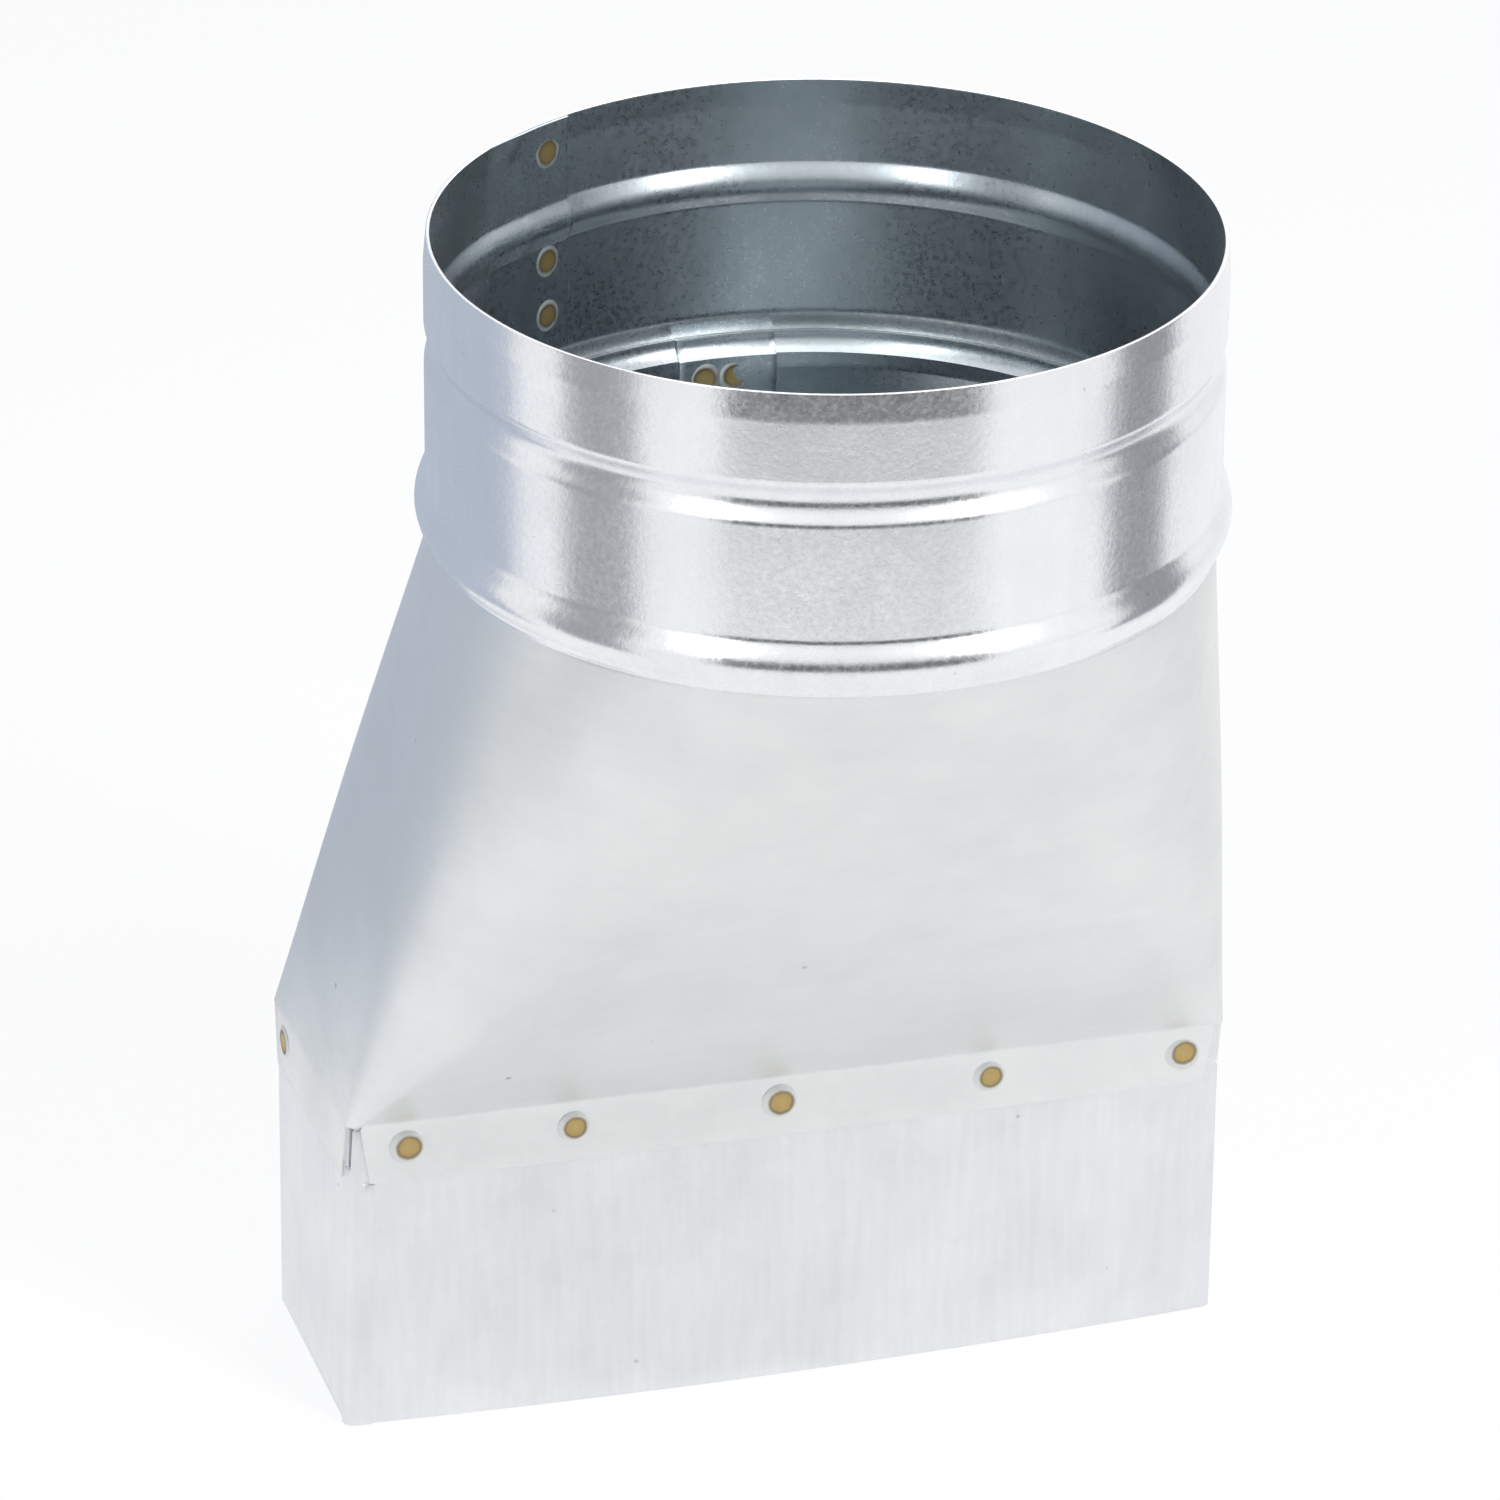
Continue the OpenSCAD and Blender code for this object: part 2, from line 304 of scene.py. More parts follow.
def stripTree():
    tree = bpy.data.node_groups.new("rolledStrip", "GeometryNodeTree")
    ids = {name: treeInput(tree, name, "NodeSocketFloat", value) for name, value in strip.items()}
    ids["Columns"] = treeInput(tree, "Columns", "NodeSocketInt", 240)
    ids["Rows"] = treeInput(tree, "Rows", "NodeSocketInt", 132)
    ids["Material"] = treeInput(tree, "Material", "NodeSocketMaterial")
    tree.interface.new_socket(name="Geometry", in_out="OUTPUT", socket_type="NodeSocketGeometry")
    source = tree.nodes.new("NodeGroupInput").outputs
    grid = tree.nodes.new("GeometryNodeMeshGrid")
    grid.inputs["Size X"].default_value = 1
    grid.inputs["Size Y"].default_value = 1
    tree.links.new(source["Columns"], grid.inputs["Vertices X"])
    tree.links.new(source["Rows"], grid.inputs["Vertices Y"])
    place = tree.nodes.new("GeometryNodeInputPosition").outputs[0]
    split = tree.nodes.new("ShaderNodeSeparateXYZ")
    tree.links.new(place, split.inputs[0])
    across = calc(tree, "ADD", split.outputs[0], 0.5)
    up = calc(tree, "ADD", split.outputs[1], 0.5)
    turn = calc(tree, "MULTIPLY_ADD", across, calc(tree, "SUBTRACT", source["To"], source["From"]), source["From"])
    angle = calc(tree, "RADIANS", turn)
    height = calc(tree, "MULTIPLY_ADD", up, calc(tree, "SUBTRACT", source["High"], source["Low"]), source["Low"])

    # a rounded rib: full at its middle, running out softly into the wall
    def rib(middle, half, size):
        t = calc(tree, "DIVIDE", calc(tree, "SUBTRACT", height, middle), calc(tree, "MULTIPLY", half, stripSoftRoot))
        hill = calc(tree, "MAXIMUM", calc(tree, "SUBTRACT", 1.0, calc(tree, "MULTIPLY", t, t)), 0.0)
        hill = calc(tree, "POWER", hill, 1.6)
        return calc(tree, "MULTIPLY", hill, size)

    radius = calc(tree, "ADD", source["Radius"], rib(source["Bead Height"], source["Bead Half"], source["Bead Out"]))
    radius = calc(tree, "SUBTRACT", radius, rib(source["Groove Height"], source["Groove Half"], source["Groove In"]))
    inLip = calc(tree, "DIVIDE", calc(tree, "SUBTRACT", height, calc(tree, "SUBTRACT", part["rim"], source["Lip"])), source["Lip"], clamp=True)
    radius = calc(tree, "SUBTRACT", radius, calc(tree, "MULTIPLY", inLip, source["Lean"]))
    past = calc(tree, "DIVIDE", calc(tree, "SUBTRACT", turn, source["Sink From"]), 7.0, clamp=True)
    radius = calc(tree, "MULTIPLY_ADD", past, source["Sink"], radius)

    # gentle waves of the rolled sheet
    def ring(r, z):
        join = tree.nodes.new("ShaderNodeCombineXYZ")
        linkTo(tree, calc(tree, "MULTIPLY", calc(tree, "COSINE", angle), r), join.inputs[0])
        linkTo(tree, calc(tree, "MULTIPLY", calc(tree, "SINE", angle), r), join.inputs[1])
        linkTo(tree, z, join.inputs[2])
        return join.outputs[0]

    wave = tree.nodes.new("ShaderNodeTexNoise")
    wave.inputs["Scale"].default_value = 0.045
    wave.inputs["Detail"].default_value = 2
    tree.links.new(ring(part["collarRadius"], height), wave.inputs["Vector"])
    swing = calc(tree, "SUBTRACT", wave.outputs["Fac"], 0.5)
    radius = calc(tree, "MULTIPLY_ADD", swing, source["Wave"], radius)
    shrink = tree.nodes.new("ShaderNodeVectorMath")
    shrink.operation = "SCALE"
    shrink.inputs["Scale"].default_value = mm
    tree.links.new(ring(radius, height), shrink.inputs[0])
    move = tree.nodes.new("GeometryNodeSetPosition")
    tree.links.new(grid.outputs["Mesh"], move.inputs["Geometry"])
    tree.links.new(shrink.outputs[0], move.inputs["Position"])
    merge = tree.nodes.new("GeometryNodeMergeByDistance")
    merge.inputs["Distance"].default_value = 0.01 * mm
    tree.links.new(move.outputs[0], merge.inputs["Geometry"])
    real = tree.nodes.new("GeometryNodeRealizeInstances")
    tree.links.new(merge.outputs[0], real.inputs[0])
    paint = tree.nodes.new("GeometryNodeSetMaterial")
    tree.links.new(real.outputs[0], paint.inputs["Geometry"])
    tree.links.new(source["Material"], paint.inputs["Material"])
    out = tree.nodes.new("NodeGroupOutput")
    tree.links.new(paint.outputs[0], out.inputs[0])
    return tree, ids


def makeStrip(name, changes, columns, rows, material):
    thing = newObject(name, [], [], [])
    modifier = thing.modifiers.new("rolledStrip", "NODES")
    modifier.node_group = rolledStrip
    for key, value in {**strip, **changes}.items():
        modifier[stripIds[key]] = float(value)
    modifier[stripIds["Columns"]] = columns
    modifier[stripIds["Rows"]] = rows
    modifier[stripIds["Material"]] = material
    freeze(thing)
    return thing


rolledStrip, stripIds = stripTree()
collar = makeStrip("collarShell", {}, 240, 132, collarZinc)
# the collar's inner face takes the inside zinc with painted shade
collar.data.materials.append(collarInside)
thicken(collar, part["sheet"], edgeRound=0.1)
freeze(collar)
finishPiece(collar, "collar_zinc", "collar")

lap = {"edge": 115.4, "width": 10.2, "runOut": 7.5, "low": 171.0}
collarLap = makeStrip("collarLap", {
    "From": lap["edge"], "To": lap["edge"] + lap["width"] + lap["runOut"], "Low": lap["low"],
    "High": part["rim"] - 0.1, "Radius": part["collarRadius"] - part["sheet"] - 0.01,
    "Sink From": lap["edge"] + lap["width"], "Sink": part["sheet"],
}, 40, 110, collarInside)
thicken(collarLap, part["sheet"], edgeRound=0.1)
freeze(collarLap)
finishPiece(collarLap, "collar_zinc")
print("collar made:", len(collar.data.polygons), "faces")


# How the real sheet stands off the straight form: the fold runs a little askew,
# the sleeve's left side closes in towards its lower edge, and the front wall bows.
settleOffsets = {  # corner: (x, y) at the fold, (x, y) at the lower edge
    (-1, -1): ((0.9, 3.2), (-0.5, 2.9)),
    (1, -1): ((-1.2, -1.7), (-0.2, 0.6)),
    (-1, 1): ((-0.2, -0.5), (-1.1, -3.6)),
    (1, 1): ((0.0, 0.0), (0.0, -0.8)),
}
frontBow = 2.6


def settle(p):
    x, y, z = p
    u = max(-1.0, min(1.0, x / (part["ductWidth"] / 2)))
    v = max(-1.0, min(1.0, (y - part["middleY"]) / (part["ductDepth"] / 2)))
    low = max(0.0, min(1.0, 1 - z / part["ductHeight"]))
    high = max(0.0, min(1.0, (part["neckHeight"] - z) / part["coneHeight"]))
    dx = dy = 0.0
    for (cx, cy), (fold, edge) in settleOffsets.items():
        share = (1 + cx * u) * (1 + cy * v) / 4 * high
        dx += share * (fold[0] * (1 - low) + edge[0] * low)
        dy += share * (fold[1] * (1 - low) + edge[1] * low)
    dy -= frontBow * low * (1 - u * u) * (1 - v) / 2
    return x + dx, y + dy, z


# The outline of the rectangular end, grown by g, as a list of sides. Each point
# comes with the direction in which its corner arc faces, for the cone above it.
def outline(g, cornerSteps, longSteps, shortSteps):
    halfX = part["ductWidth"] / 2 - part["cornerRadius"]
    halfY = part["ductDepth"] / 2 - part["cornerRadius"]
    r = part["cornerRadius"] + g
    corners = [(halfX, halfY, 0), (-halfX, halfY, 90), (-halfX, -halfY, 180), (halfX, -halfY, 270)]
    sides = []
    for i, (cx, cy, start) in enumerate(corners):
        arc = []
        for k in range(cornerSteps + 1):
            a = math.radians(start + 90 * k / cornerSteps)
            arc.append((cx + r * math.cos(a), part["middleY"] + cy + r * math.sin(a), start + 90 * k / cornerSteps))
        sides.append(("corner", i, arc))
        nx, ny, nextStart = corners[(i + 1) % 4]
        a = math.radians(nextStart)
        end = (nx + r * math.cos(a), part["middleY"] + ny + r * math.sin(a))
        steps = longSteps if i % 2 == 0 else shortSteps
        flat = []
        for k in range(steps + 1):
            t = k / steps
            flat.append((arc[-1][0] * (1 - t) + end[0] * t, arc[-1][1] * (1 - t) + end[1] * t, start + 90))
        sides.append(("flat", i, flat))
    return sides


# Transition: corner cones and flat triangles from the fold up to the round neck,
# which flares along the inside of the bead, and four flaps below the fold.
cone = {
    "rows": 46, "cornerSteps": 28, "longSteps": 44, "shortSteps": 16,
    "foldRound": 0.9, "foldRows": 5, "flapHeight": 10.5, "flapTaper": 1.8, "flapRows": 4,
    "flareArc": 4.2265, "flareMiddle": 59.0235, "beadHeight": 166.6, "flareRows": 7, "bulge": 0.35,
}


def conePoint(side, share):
    x, y, facing = side
    a = math.radians(facing)
    top = (part["neckRadius"] * math.cos(a), part["neckRadius"] * math.sin(a))
    z = part["ductHeight"] + part["coneHeight"] * share
    # the sheet between the bends is a little full
    full = cone["bulge"] * math.sin(math.pi * min(1, share * 1.0)) ** 2
    px, py = x * (1 - share) + top[0] * share, y * (1 - share) + top[1] * share
    return settle((px + full * math.cos(a), py + full * math.sin(a), z))


def neckProfile():
    startAngle = -math.acos((part["neckRadius"] - cone["flareMiddle"]) / cone["flareArc"])
    rows = [(part["neckRadius"], part["neckHeight"] + 0.8)]
    for k in range(cone["flareRows"] + 1):
        b = startAngle * (1 - k / cone["flareRows"])
        rows.append((cone["flareMiddle"] + cone["flareArc"] * math.cos(b),
                     cone["beadHeight"] + cone["flareArc"] * math.sin(b)))
    return rows


def makeTransition():
    points, faces, index = [], [], {}

    def vertex(p):
        key = tuple(round(c, 4) for c in p)
        if key not in index:
            index[key] = len(points)
            points.append(p)
        return index[key]

    def skin(columns):
        for left, right in zip(columns, columns[1:]):
            for k in range(len(left) - 1):
                ring = [left[k], right[k], right[k + 1], left[k + 1]]
                loop = [v for n, v in enumerate(ring) if v != ring[n - 1]]
                if len(loop) > 2:
                    faces.append(loop)

    # rows lie closer together near the fold and near the neck
    shares = [0.5 - 0.5 * math.cos(math.pi * k / cone["rows"]) for k in range(cone["rows"] + 1)]
    firstShare = cone["foldRound"] / part["coneHeight"]
    shares = [firstShare + (1 - firstShare) * s for s in shares]
    for kind, number, side in outline(part["sheet"], cone["cornerSteps"], cone["longSteps"], cone["shortSteps"]):
        columns = []
        for place, spot in enumerate(side):
            a = math.radians(spot[2])
            body = [conePoint(spot, s) for s in shares]
            neck = [(r * math.cos(a), r * math.sin(a), z) for r, z in neckProfile()]
            foot = []
            if kind == "corner":
                foot = [conePoint(spot, 0.0)]
            else:
                across = 2 * place / (len(side) - 1) - 1
                length = math.hypot(side[-1][0] - side[0][0], side[-1][1] - side[0][1])
                along = ((side[-1][0] - side[0][0]) / length, (side[-1][1] - side[0][1]) / length)
                bend = settle((spot[0], spot[1], part["ductHeight"]))
                for k in range(cone["flapRows"] + 1):
                    drop = cone["foldRound"] + (cone["flapHeight"] - cone["foldRound"]) * (1 - k / cone["flapRows"])
                    pull = -across * cone["flapTaper"] * drop / cone["flapHeight"]
                    foot.append(settle((spot[0] + along[0] * pull, spot[1] + along[1] * pull, part["ductHeight"] - drop)))
                low, high = foot[-1], body[0]
                for k in range(1, cone["foldRows"]):
                    t = k / cone["foldRows"]
                    foot.append(tuple(low[i] * (1 - t) ** 2 + 2 * bend[i] * t * (1 - t) + high[i] * t * t for i in range(3)))
            columns.append([vertex(p) for p in foot + body + neck])
        skin(columns)
    return newObject("transitionShell", points, faces, [coneZinc, coneInside])


transition = makeTransition()
thicken(transition, part["sheet"], edgeRound=0.08)
freeze(transition)
finishPiece(transition, "transition_zinc", "transition")
print("transition made:", len(transition.data.polygons), "faces")


# the inner layer of the back seam, which shows inside the neck
seam = {"left": -5.9, "right": 10.6, "columns": 14, "rows": 40, "inset": 0.62}


def makeSeam():
    rows = [part["ductHeight"] + part["coneHeight"] * k / seam["rows"] for k in range(seam["rows"] + 1)]
    profile = [(part["neckRadius"], z) for z in rows] + neckProfile()
    points, faces = [], []
    for r, z in profile:
        rise = min(1.0, (z - part["ductHeight"]) / part["coneHeight"])
        for k in range(seam["columns"] + 1):
            x = seam["left"] + (seam["right"] - seam["left"]) * k / seam["columns"]
            flatHalf = (part["ductWidth"] / 2 - part["cornerRadius"]) * (1 - rise)
            arc = (part["cornerRadius"] + part["sheet"]) * (1 - rise) + r * rise
            off = max(0.0, abs(x) - flatHalf) / arc
            y = arc * math.sqrt(1 - off * off) + (part["backY"] - part["cornerRadius"]) * (1 - rise)
            px, py, pz = settle((x, y - seam["inset"], z))
            points.append((px, py, pz))
    width = seam["columns"] + 1
    for j in range(len(profile) - 1):
        for k in range(seam["columns"]):
            a = j * width + k
            faces.append((a, a + width, a + width + 1, a + 1))
    return newObject("seamLayer", points, faces, [coneInside])


seamLayer = makeSeam()
thicken(seamLayer, part["sheet"], edgeRound=0.06)
freeze(seamLayer)
finishPiece(seamLayer, "transition_zinc")
print("seam made")


# Rectangular sleeve, with a relief slit beside each upper corner
sleeve = {"rows": 28, "cornerSteps": 10, "longSteps": 60, "shortSteps": 20, "slitDepth": 8.0, "slit": (1, 6)}


def makeSleeve():
    points, faces, index = [], [], {}

    def vertex(p):
        key = tuple(round(c, 4) for c in p)
        if key not in index:
            index[key] = len(points)
            points.append(p)
        return index[key]

    slitLow = part["ductHeight"] - sleeve["slitDepth"]
    heights = [slitLow * k / sleeve["rows"] for k in range(sleeve["rows"] + 1)]
    heights += [slitLow + sleeve["slitDepth"] * k / 5 for k in range(1, 6)]
    for kind, number, side in outline(0.0, sleeve["cornerSteps"], sleeve["longSteps"], sleeve["shortSteps"]):
        columns = [[vertex(settle((x, y, z))) for z in heights] for x, y, facing in side]
        for place, (left, right) in enumerate(zip(columns, columns[1:])):
            fromSide = place if number in (0, 2) else sleeve["cornerSteps"] - 1 - place
            slit = sleeve["slit"][0] <= fromSide < sleeve["slit"][1]
            for k in range(len(heights) - 1):
                if kind == "corner" and slit and heights[k] >= slitLow - 0.01:
                    continue
                faces.append((left[k], right[k], right[k + 1], left[k + 1]))
    return newObject("sleeveShell", points, faces, [ductZinc, coneInside])


sleeveShell = makeSleeve()
thicken(sleeveShell, part["sheet"], edgeRound=0.08)
freeze(sleeveShell)
finishPiece(sleeveShell, "duct_end_zinc", "duct_end")


# the sleeve's free edge, lapped round the front left corner
edgeLap = {"width": 4.2, "top": 45.2, "high": 55.4, "rows": 24, "thick": 0.35}


def makeEdgeLap():
    r = part["cornerRadius"] + edgeLap["thick"]
    cx = part["cornerRadius"] - part["ductWidth"] / 2
    cy = part["frontY"] + part["cornerRadius"]
    line = [(cx - r, cy + 0.4)]
    for k in range(11):
        a = math.radians(180 + 9 * k)
        line.append((cx + r * math.cos(a), cy + r * math.sin(a)))
    for k in range(1, 5):
        line.append((cx + (edgeLap["width"] - r + edgeLap["thick"]) * k / 4, cy - r))
    points, faces = [], []
    for n, (x, y) in enumerate(line):
        top = part["ductHeight"] - sleeve["slitDepth"] if n < 7 else (edgeLap["high"] if n < 12 else edgeLap["top"])
        for k in range(edgeLap["rows"] + 1):
            points.append(settle((x, y, top * k / edgeLap["rows"])))
    width = edgeLap["rows"] + 1
    for n in range(len(line) - 1):
        for k in range(edgeLap["rows"]):
            a = n * width + k
            faces.append((a, a + width, a + width + 1, a + 1))
    return newObject("edgeLap", points, faces, [ductZinc])


cornerLap = makeEdgeLap()
thicken(cornerLap, edgeLap["thick"] + 0.05, edgeRound=0.06)
freeze(cornerLap)
finishPiece(cornerLap, "duct_end_zinc")
print("sleeve made")


# Spot welds: one dished mark on each point, as Geometry Nodes
weld = {
    "Radius": 3.2, "Dish": 0.62, "Depth": 0.10, "Proud": 0.16, "Seed": 4,
    "drop": 4.5, "front": (-65.2, -37.1, -1.9, 34.4, 68.3), "back": (-66.5, -33.3, 0.0, 33.3, 66.5),
    "sideY": 53.0, "collarTurn": 119.6, "collarDrops": (5.2, 24.0, 33.5),
    "seam": (-1.5, 3.6), "seamHeight": 160.1,
}


def weldMaterial():
    material, tree, shader, coords = blankMaterial("weldSpot")
    reach = tree.nodes.new("ShaderNodeAttribute")
    reach.attribute_name = "reach"
    mottle = noise(tree, coords, 900.0, detail=4)
    away = calc(tree, "MULTIPLY_ADD", calc(tree, "SUBTRACT", mottle, 0.5), 0.12, reach.outputs["Fac"])
    ramp = tree.nodes.new("ShaderNodeValToRGB")
    stops = ((0.0, (0.60, 0.45, 0.20)), (0.46, (0.56, 0.40, 0.16)), (0.56, (0.30, 0.25, 0.15)),
             (0.63, (0.44, 0.40, 0.30)), (0.72, (0.80, 0.80, 0.78)), (1.0, (0.80, 0.82, 0.83)))
    ramp.color_ramp.elements.remove(ramp.color_ramp.elements[1])
    for n, (place, colour) in enumerate(stops):
        stop = ramp.color_ramp.elements[0] if n == 0 else ramp.color_ramp.elements.new(place)
        stop.color = (*colour, 1)
    tree.links.new(away, ramp.inputs[0])
    tree.links.new(ramp.outputs[0], shader.inputs["Base Color"])
    shader.inputs["Metallic"].default_value = 0.8
    tree.links.new(mapRange(tree, mottle, 0.3, 0.7, 0.32, 0.5), shader.inputs["Roughness"])
    bump = tree.nodes.new("ShaderNodeBump")
    bump.inputs["Distance"].default_value = 0.05 * mm
    tree.links.new(mottle, bump.inputs["Height"])
    tree.links.new(bump.outputs[0], shader.inputs["Normal"])
    return material


def weldTree():
    tree = bpy.data.node_groups.new("weldMarks", "GeometryNodeTree")
    tree.interface.new_socket(name="Points", in_out="INPUT", socket_type="NodeSocketGeometry")
    ids = {name: treeInput(tree, name, "NodeSocketFloat", float(weld[name])) for name in ("Radius", "Dish", "Depth", "Proud")}
    ids["Seed"] = treeInput(tree, "Seed", "NodeSocketInt", weld["Seed"])
    ids["Material"] = treeInput(tree, "Material", "NodeSocketMaterial")
    tree.interface.new_socket(name="Geometry", in_out="OUTPUT", socket_type="NodeSocketGeometry")
    source = tree.nodes.new("NodeGroupInput").outputs
    disc = tree.nodes.new("GeometryNodeMeshCircle")
    disc.fill_type = "TRIANGLE_FAN"
    disc.inputs["Vertices"].default_value = 36
    disc.inputs["Radius"].default_value = 1.0
    finer = tree.nodes.new("GeometryNodeSubdivideMesh")
    finer.inputs["Level"].default_value = 3
    tree.links.new(disc.outputs[0], finer.inputs[0])
    place = tree.nodes.new("GeometryNodeInputPosition").outputs[0]
    length = tree.nodes.new("ShaderNodeVectorMath")
    length.operation = "LENGTH"
    tree.links.new(place, length.inputs[0])
    reach = length.outputs["Value"]
    keep = tree.nodes.new("GeometryNodeStoreNamedAttribute")
    keep.inputs["Name"].default_value = "reach"
    tree.links.new(finer.outputs[0], keep.inputs["Geometry"])
    tree.links.new(reach, keep.inputs["Value"])
    # a flat dish inside a low rolled rim that runs out to nothing
    inside = mapRange(tree, reach, 0.0, 1.0)
    wall = calc(tree, "SMOOTH_MIN", 1.0, calc(tree, "DIVIDE", inside, source["Dish"]), 0.1)
    wall = calc(tree, "POWER", wall, 8.0)
    fall = calc(tree, "SUBTRACT", 1.0, calc(tree, "DIVIDE", calc(tree, "SUBTRACT", inside, source["Dish"]), calc(tree, "SUBTRACT", 1.0, source["Dish"])), clamp=True)
    z = calc(tree, "MULTIPLY", calc(tree, "MULTIPLY", wall, fall), source["Depth"])
    z = calc(tree, "ADD", z, calc(tree, "SUBTRACT", calc(tree, "MULTIPLY", fall, source["Proud"]), source["Depth"]))
    spread = tree.nodes.new("ShaderNodeVectorMath")
    spread.operation = "MULTIPLY"
    side = tree.nodes.new("ShaderNodeCombineXYZ")
    tree.links.new(source["Radius"], side.inputs[0])
    tree.links.new(source["Radius"], side.inputs[1])
    tree.links.new(place, spread.inputs[0])
    tree.links.new(side.outputs[0], spread.inputs[1])
    raised = tree.nodes.new("ShaderNodeCombineXYZ")
    tree.links.new(z, raised.inputs[2])
    total = tree.nodes.new("ShaderNodeVectorMath")
    total.operation = "ADD"
    tree.links.new(spread.outputs[0], total.inputs[0])
    tree.links.new(raised.outputs[0], total.inputs[1])
    small = tree.nodes.new("ShaderNodeVectorMath")
    small.operation = "SCALE"
    small.inputs["Scale"].default_value = mm
    tree.links.new(total.outputs[0], small.inputs[0])
    shape = tree.nodes.new("GeometryNodeSetPosition")
    tree.links.new(keep.outputs[0], shape.inputs["Geometry"])
    tree.links.new(small.outputs[0], shape.inputs["Position"])
    outward = tree.nodes.new("GeometryNodeInputNamedAttribute")
    outward.data_type = "FLOAT_VECTOR"
    outward.inputs["Name"].default_value = "outward"
    align = tree.nodes.new("FunctionNodeAlignRotationToVector")
    align.axis = "Z"
    tree.links.new(outward.outputs[0], align.inputs["Vector"])
    vary = tree.nodes.new("FunctionNodeRandomValue")
    vary.data_type = "FLOAT"
    vary.inputs[2].default_value = 0.92
    vary.inputs[3].default_value = 1.08
    tree.links.new(source["Seed"], vary.inputs["Seed"])
    copies = tree.nodes.new("GeometryNodeInstanceOnPoints")
    tree.links.new(source["Points"], copies.inputs["Points"])
    tree.links.new(shape.outputs[0], copies.inputs["Instance"])
    tree.links.new(align.outputs[0], copies.inputs["Rotation"])
    tree.links.new(vary.outputs[1], copies.inputs["Scale"])
    real = tree.nodes.new("GeometryNodeRealizeInstances")
    tree.links.new(copies.outputs[0], real.inputs[0])
    paint = tree.nodes.new("GeometryNodeSetMaterial")
    tree.links.new(real.outputs[0], paint.inputs["Geometry"])
    tree.links.new(source["Material"], paint.inputs["Material"])
    out = tree.nodes.new("NodeGroupOutput")
    tree.links.new(paint.outputs[0], out.inputs[0])
    return tree, ids


# where each mark sits, a hair proud of its sheet, and which way it faces
def weldPlaces():
    lift = 0.03
    skin = part["sheet"] + lift
    height = part["ductHeight"] - weld["drop"]
    places = [((x, part["frontY"] - skin, height), (0, -1, 0)) for x in weld["front"]]
    places += [((x, part["backY"] + skin, height), (0, 1, 0)) for x in weld["back"]]
    places += [((s * (part["ductWidth"] / 2 + skin), weld["sideY"], height), (s, 0, 0)) for s in (-1, 1)]
    places = [(settle(p), n) for p, n in places]
    a = math.radians(weld["collarTurn"])
    r = part["collarRadius"] - 2 * part["sheet"] - lift
    places += [((r * math.cos(a), r * math.sin(a), part["rim"] - drop), (-math.cos(a), -math.sin(a), 0))
               for drop in weld["collarDrops"]]
    y = part["neckRadius"] - seam["inset"] - part["sheet"] - lift
    places += [((x, y, weld["seamHeight"]), (0, -1, 0)) for x in weld["seam"]]
    return places


def makeWelds():
    places = weldPlaces()
    thing = newObject("weldMarks", [p for p, n in places], [], [])
    outward = thing.data.attributes.new("outward", "FLOAT_VECTOR", "POINT")
    for item, (p, n) in zip(outward.data, places):
        item.vector = n
    tree, ids = weldTree()
    modifier = thing.modifiers.new("weldMarks", "NODES")
    modifier.node_group = tree
    for name in ("Radius", "Dish", "Depth", "Proud"):
        modifier[ids[name]] = float(weld[name])
    modifier[ids["Seed"]] = weld["Seed"]
    modifier[ids["Material"]] = weldMaterial()
    freeze(thing)
    return thing


welds = makeWelds()
finishPiece(welds, "transition_zinc")
print("welds made:", len(welds.data.polygons), "faces")


# studio: a white floor that keeps the shadow, soft lamps, and dark cards that
# only the gloss of the metal sees

def whiteOrLit(tree, litShader, whiteStrength):
    path = tree.nodes.new("ShaderNodeLightPath").outputs
    seen = calc(tree, "ADD", calc(tree, "ADD", path["Is Camera Ray"], path["Is Glossy Ray"]), path["Is Transmission Ray"], clamp=True)
    glow = tree.nodes.new("ShaderNodeEmission")
    glow.inputs["Color"].default_value = (1, 1, 1, 1)
    linkTo(tree, calc(tree, "MULTIPLY", seen, whiteStrength), glow.inputs["Strength"])
    both = tree.nodes.new("ShaderNodeAddShader")
    tree.links.new(litShader, both.inputs[0])
    tree.links.new(glow.outputs[0], both.inputs[1])
    return both.outputs[0]


floorLook = {"size": 6.0, "colour": (0.26, 0.26, 0.265), "white": 0.80, "height": -0.0002}


def makeFloor():
    half = floorLook["size"] / mm
    z = floorLook["height"] / mm
    material = bpy.data.materials.new("studioFloor")
    material.use_nodes = True
    tree = material.node_tree
    tree.nodes.clear()
    lit = tree.nodes.new("ShaderNodeBsdfDiffuse")
    lit.inputs["Color"].default_value = (*floorLook["colour"], 1)
    out = tree.nodes.new("ShaderNodeOutputMaterial")
    tree.links.new(whiteOrLit(tree, lit.outputs[0], floorLook["white"]), out.inputs["Surface"])
    floor = newObject("studioFloor", [(-half, -half, z), (half, -half, z), (half, half, z), (-half, half, z)], [(0, 1, 2, 3)], [material])


worldLook = {"ambient": (0.80, 0.84, 0.90), "ambientStrength": 0.35}


def makeWorld():
    world = bpy.data.worlds.new("studioWorld")
    scene.world = world
    world.use_nodes = True
    tree = world.node_tree
    tree.nodes.clear()
    path = tree.nodes.new("ShaderNodeLightPath").outputs
    seen = calc(tree, "ADD", calc(tree, "ADD", path["Is Camera Ray"], path["Is Glossy Ray"]), path["Is Transmission Ray"], clamp=True)
    back = tree.nodes.new("ShaderNodeBackground")
    tree.links.new(mixColour(tree, seen, worldLook["ambient"], (1, 1, 1)), back.inputs["Color"])
    tree.links.new(mapRange(tree, seen, 0.0, 1.0, worldLook["ambientStrength"], 1.0), back.inputs["Strength"])
    out = tree.nodes.new("ShaderNodeOutputWorld")
    tree.links.new(back.outputs[0], out.inputs["Surface"])


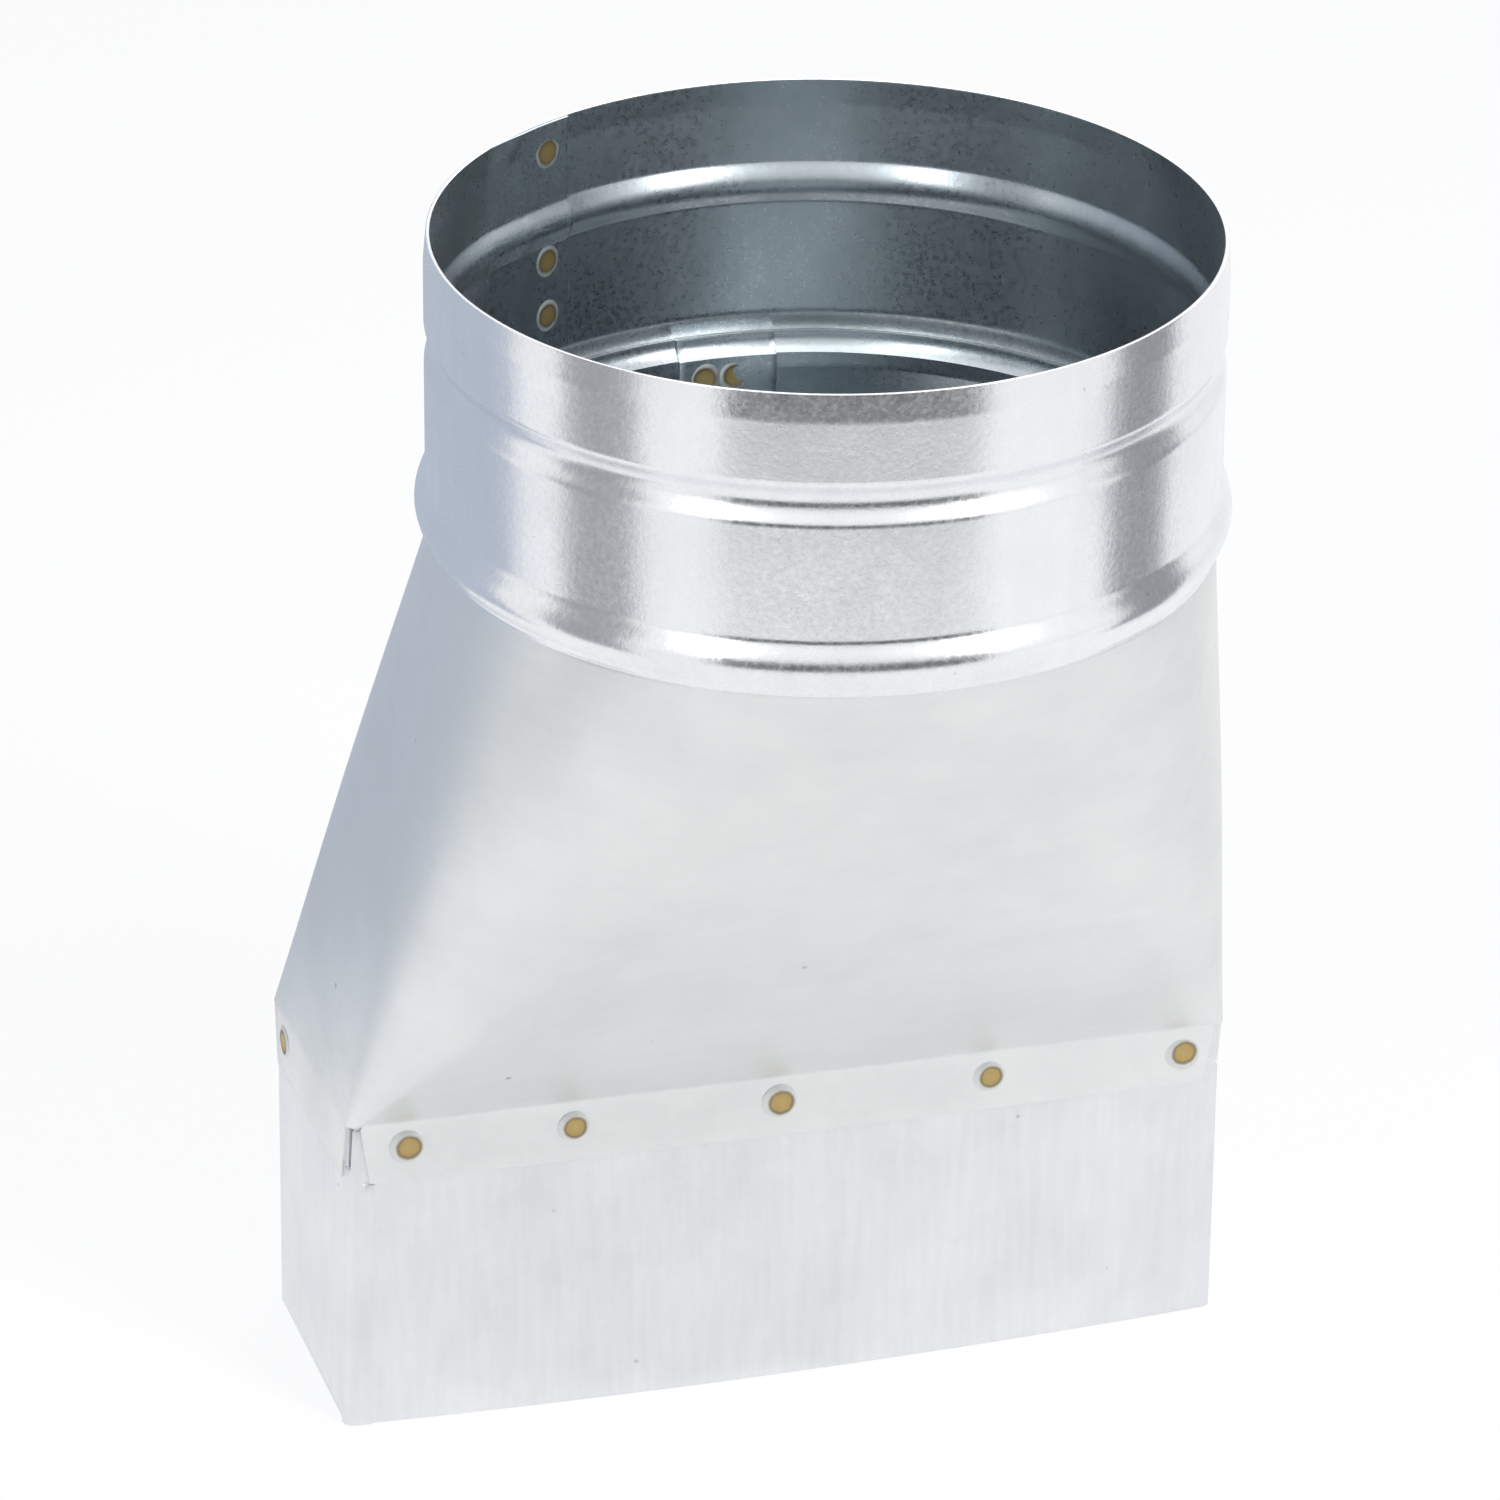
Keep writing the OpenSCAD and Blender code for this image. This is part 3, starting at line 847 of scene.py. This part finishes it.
cameraTurn = math.degrees(math.atan2(view["place"][1], view["place"][0]))
lamps = {  # turn from the camera's direction, height angle, distance, width, height, watts, colour
    "keyLamp": (47, 42, 1.3, 0.34, 0.9, 5.0, (1.0, 0.99, 0.97)),
    "leftLamp": (-31, 40, 1.3, 0.16, 0.9, 2.8, (0.97, 0.98, 1.0)),
    "topLamp": (10, 82, 1.3, 1.1, 1.1, 4.0, (1.0, 1.0, 1.0)),
    "backLamp": (170, 45, 1.5, 0.8, 0.8, 2.5, (0.98, 0.99, 1.0)),
}


def makeLamps():
    aim = Vector((0, 0, 0.12))
    for name, (turn, rise, distance, width, tall, watts, colour) in lamps.items():
        a, e = math.radians(cameraTurn + turn), math.radians(rise)
        data = bpy.data.lights.new(name, "AREA")
        data.shape = "RECTANGLE"
        data.size, data.size_y = width, tall
        data.energy = watts
        data.color = colour
        lamp = bpy.data.objects.new(name, data)
        scene.collection.objects.link(lamp)
        place = aim + distance * Vector((math.cos(a) * math.cos(e), math.sin(a) * math.cos(e), math.sin(e)))
        lamp.matrix_world = Matrix.Translation(place) @ (aim - place).to_track_quat("-Z", "Y").to_matrix().to_4x4()


cards = {  # turn from the camera's direction, half width, radius, low, high, colour
    "roomCard": (8, 34, 0.55, 0.0, 0.30, (0.10, 0.104, 0.108)),
    "leftCard": (-60, 11, 0.30, 0.0, 0.60, (0.36, 0.37, 0.39)),
    "rightCard": (93, 12, 0.30, 0.0, 0.60, (0.30, 0.31, 0.33)),
    "coolCard": (-122, 36, 0.22, 0.0, 0.34, (0.50, 0.55, 0.64)),
}


def makeCards():
    for name, (turn, half, radius, low, high, colour) in cards.items():
        material = bpy.data.materials.new(name)
        material.use_nodes = True
        tree = material.node_tree
        tree.nodes.clear()
        glow = tree.nodes.new("ShaderNodeEmission")
        glow.inputs["Color"].default_value = (*colour, 1)
        out = tree.nodes.new("ShaderNodeOutputMaterial")
        tree.links.new(glow.outputs[0], out.inputs["Surface"])
        steps = 12
        points, faces = [], []
        for k in range(steps + 1):
            a = math.radians(cameraTurn + turn + half * (2 * k / steps - 1))
            for z in (low, high):
                points.append((radius * math.cos(a) / mm, radius * math.sin(a) / mm, z / mm))
        for k in range(steps):
            faces.append((2 * k, 2 * k + 2, 2 * k + 3, 2 * k + 1))
        card = newObject(name, points, faces, [material])
        card.visible_camera = False
        card.visible_diffuse = False
        card.visible_shadow = False
        card.visible_transmission = False


makeFloor()
makeWorld()
makeLamps()
makeCards()
scene.view_settings.view_transform = "Standard"
print("studio made")
